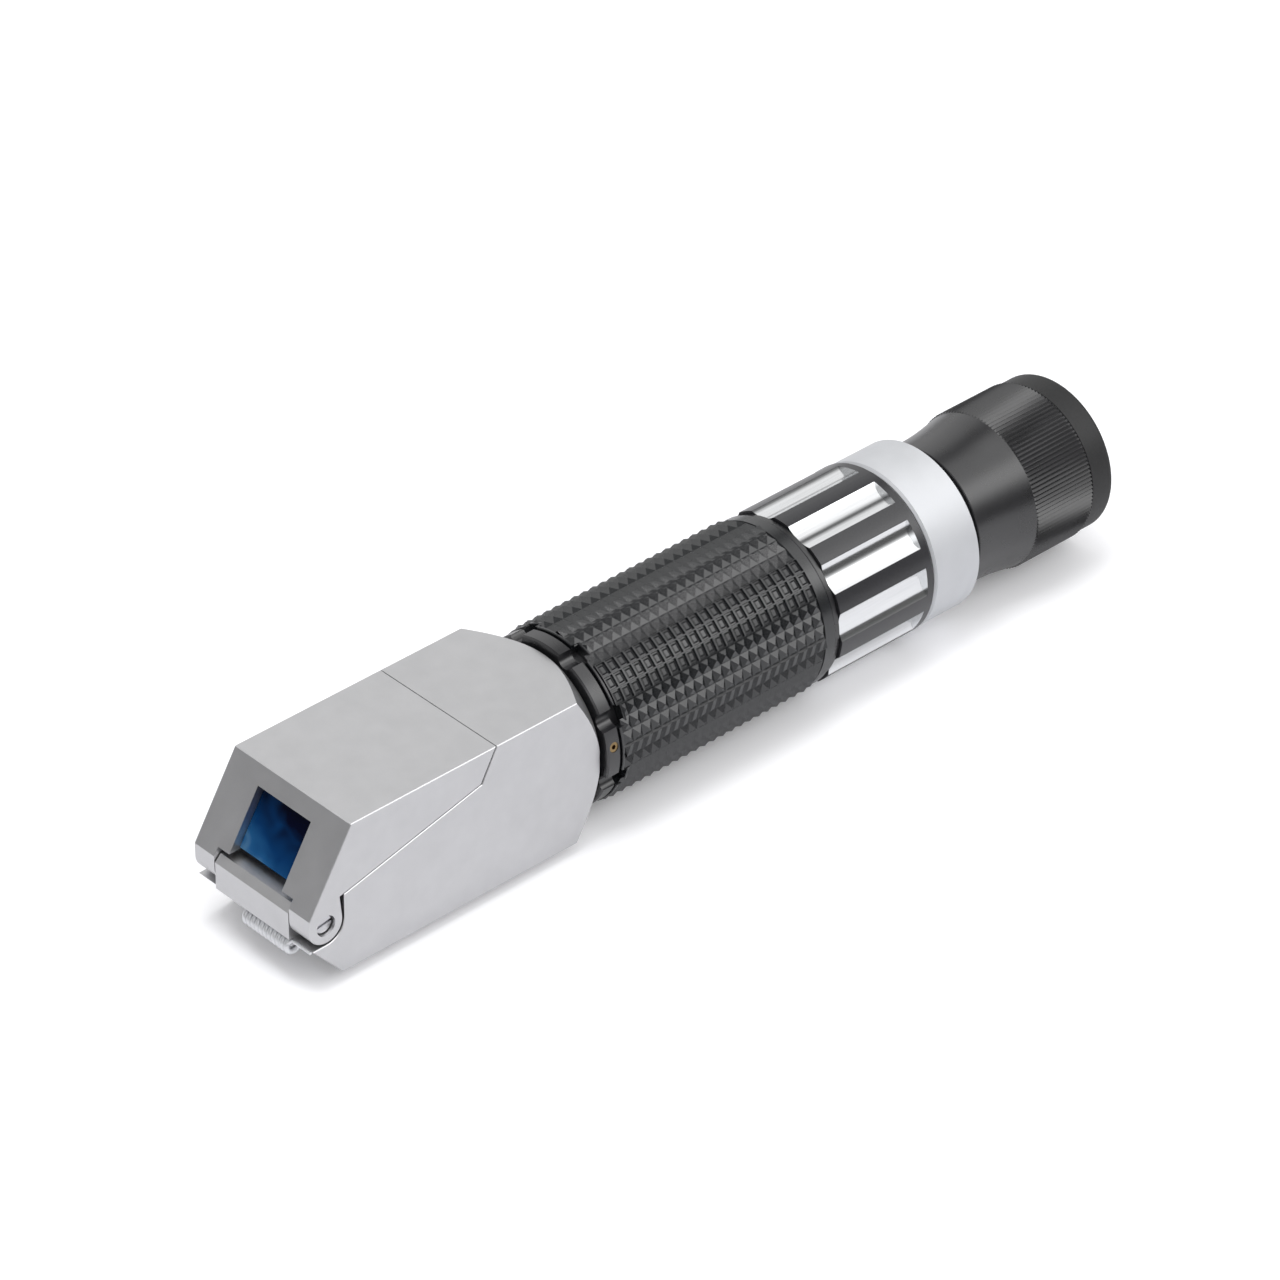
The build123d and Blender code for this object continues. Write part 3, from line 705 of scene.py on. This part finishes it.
def floor_paper():
    material, tree, shader = new_material("floor_paper")
    path = tree.nodes.new("ShaderNodeLightPath")
    glossy = path.outputs["Is Glossy Ray"]
    feed(tree, mix_colours(tree, glossy, PAPER, PAPER_REFLECTED), shader.inputs["Base Color"])
    shader.inputs["Roughness"].default_value = 0.9
    shader.inputs["Specular IOR Level"].default_value = 0.0
    seen = calculate(tree, "MAXIMUM", path.outputs["Is Camera Ray"], glossy)
    seen = calculate(tree, "MAXIMUM", seen, path.outputs["Is Transmission Ray"])
    glow = tree.nodes.new("ShaderNodeEmission")
    glow.inputs["Color"].default_value = (1, 1, 1, 1)
    feed(tree, calculate(tree, "MULTIPLY", seen, PAPER_GLOW), glow.inputs["Strength"])
    both = tree.nodes.new("ShaderNodeAddShader")
    feed(tree, shader.outputs[0], both.inputs[0])
    feed(tree, glow.outputs[0], both.inputs[1])
    feed(tree, both.outputs[0], tree.nodes["Material Output"].inputs["Surface"])
    return material


def build_floor():
    mesh = bpy.data.meshes.new("floor")
    corners = [(FLOOR_REACH * x, FLOOR_REACH * y, 0) for x, y in ((-1, -1), (1, -1), (1, 1), (-1, 1))]
    mesh.from_pydata(corners, [], [(0, 1, 2, 3)])
    floor = new_object("floor", mesh)
    floor.location.z = cad_bounds[0][2] - FLOOR_GAP
    mesh.materials.append(floor_paper())


# Key light: a square panel high over the part, aimed at it
KEY_PLACE = Vector((-0.2, 0.1, 1.4))
KEY_SIDE = 0.7
KEY_POWER = 9


def build_key_light():
    light = bpy.data.lights.new("key", "AREA")
    light.shape = "RECTANGLE"
    light.size = KEY_SIDE
    light.size_y = KEY_SIDE
    light.energy = KEY_POWER
    lamp = new_object("key", light)
    lamp.location = KEY_PLACE
    lamp.rotation_euler = (-KEY_PLACE).to_track_quat("-Z", "Y").to_euler()


# Studio: a brightness by angle round the barrel (0 is +Y, 90 is up and 180 is -Y) and one along it
AROUND = [
    (-180, 0.1), (-8, 0.1), (4, 0.6), (12, 0.9), (48, 0.9), (58, 0.5), (63, 0.12), (70, 0.12), (76, 0.6),
    (84, 1.1), (116, 1.25), (127, 2.5), (143, 2.5), (152, 1.0), (159, 0.25), (165, 0.1), (180, 0.1),
]
ALONG = [(-0.95, 0.2), (-0.72, 0.3), (-0.5, 0.68), (-0.2, 1.0), (0.7, 1.0), (0.95, 0.3)]
STUDIO_TOP = 3.0


def build_world():
    # The camera itself sees white
    world = bpy.data.worlds.new("studio")
    bpy.context.scene.world = world
    world.use_nodes = True
    tree = world.node_tree
    source = tree.nodes.new("ShaderNodeTexCoord")
    x, y, z = split_vector(tree, source.outputs["Generated"])
    turn = value_range(tree, calculate(tree, "ARCTAN2", z, y), 0.0, 1.0, -math.pi, math.pi)
    around = grey_ramp(tree, turn, [((angle + 180) / 360, level / STUDIO_TOP) for angle, level in AROUND])
    share = value_range(tree, x, 0.0, 1.0, -1.0, 1.0)
    along = grey_ramp(tree, share, [((place + 1) / 2, level) for place, level in ALONG])
    studio = mix_colours(tree, 1.0, around, along, "MULTIPLY")
    path = tree.nodes.new("ShaderNodeLightPath")
    white = (1 / STUDIO_TOP, 1 / STUDIO_TOP, 1 / STUDIO_TOP, 1)
    background = tree.nodes["Background"]
    feed(tree, mix_colours(tree, path.outputs["Is Camera Ray"], studio, white), background.inputs["Color"])
    background.inputs["Strength"].default_value = STUDIO_TOP


# Camera, as solved from the edges of the head and the rims of the barrel
PICTURE_WIDTH = 1280
FOCAL_PIXELS = 6592.41
SENSOR = 36.0
CAMERA_AZIMUTH = -43.159
CAMERA_ELEVATION = 35.434
CAMERA_ROLL = 0.57
CAMERA_PLACE = (-601.38, -731.78, 720.95)


def build_camera():
    camera = bpy.data.cameras.new("camera")
    camera.sensor_width = SENSOR
    camera.sensor_fit = "HORIZONTAL"
    camera.lens = SENSOR * FOCAL_PIXELS / PICTURE_WIDTH
    camera.clip_start = 0.01
    camera.clip_end = 20.0
    azimuth = math.radians(CAMERA_AZIMUTH)
    elevation = math.radians(CAMERA_ELEVATION)
    roll = math.radians(CAMERA_ROLL)
    back = Vector((
        math.sin(azimuth) * math.cos(elevation),
        -math.cos(azimuth) * math.cos(elevation),
        math.sin(elevation),
    ))
    right = Vector((math.cos(azimuth), math.sin(azimuth), 0))
    up = back.cross(right)
    right_rolled = right * math.cos(roll) + up * math.sin(roll)
    up_rolled = up * math.cos(roll) - right * math.sin(roll)
    turn = Matrix((right_rolled, up_rolled, back)).transposed().to_4x4()
    holder = new_object("camera", camera)
    holder.matrix_world = Matrix.Translation(row_point(*CAMERA_PLACE)) @ turn
    bpy.context.scene.camera = holder


build_floor()
build_key_light()
build_world()
build_camera()
bpy.context.scene.view_settings.view_transform = "Standard"
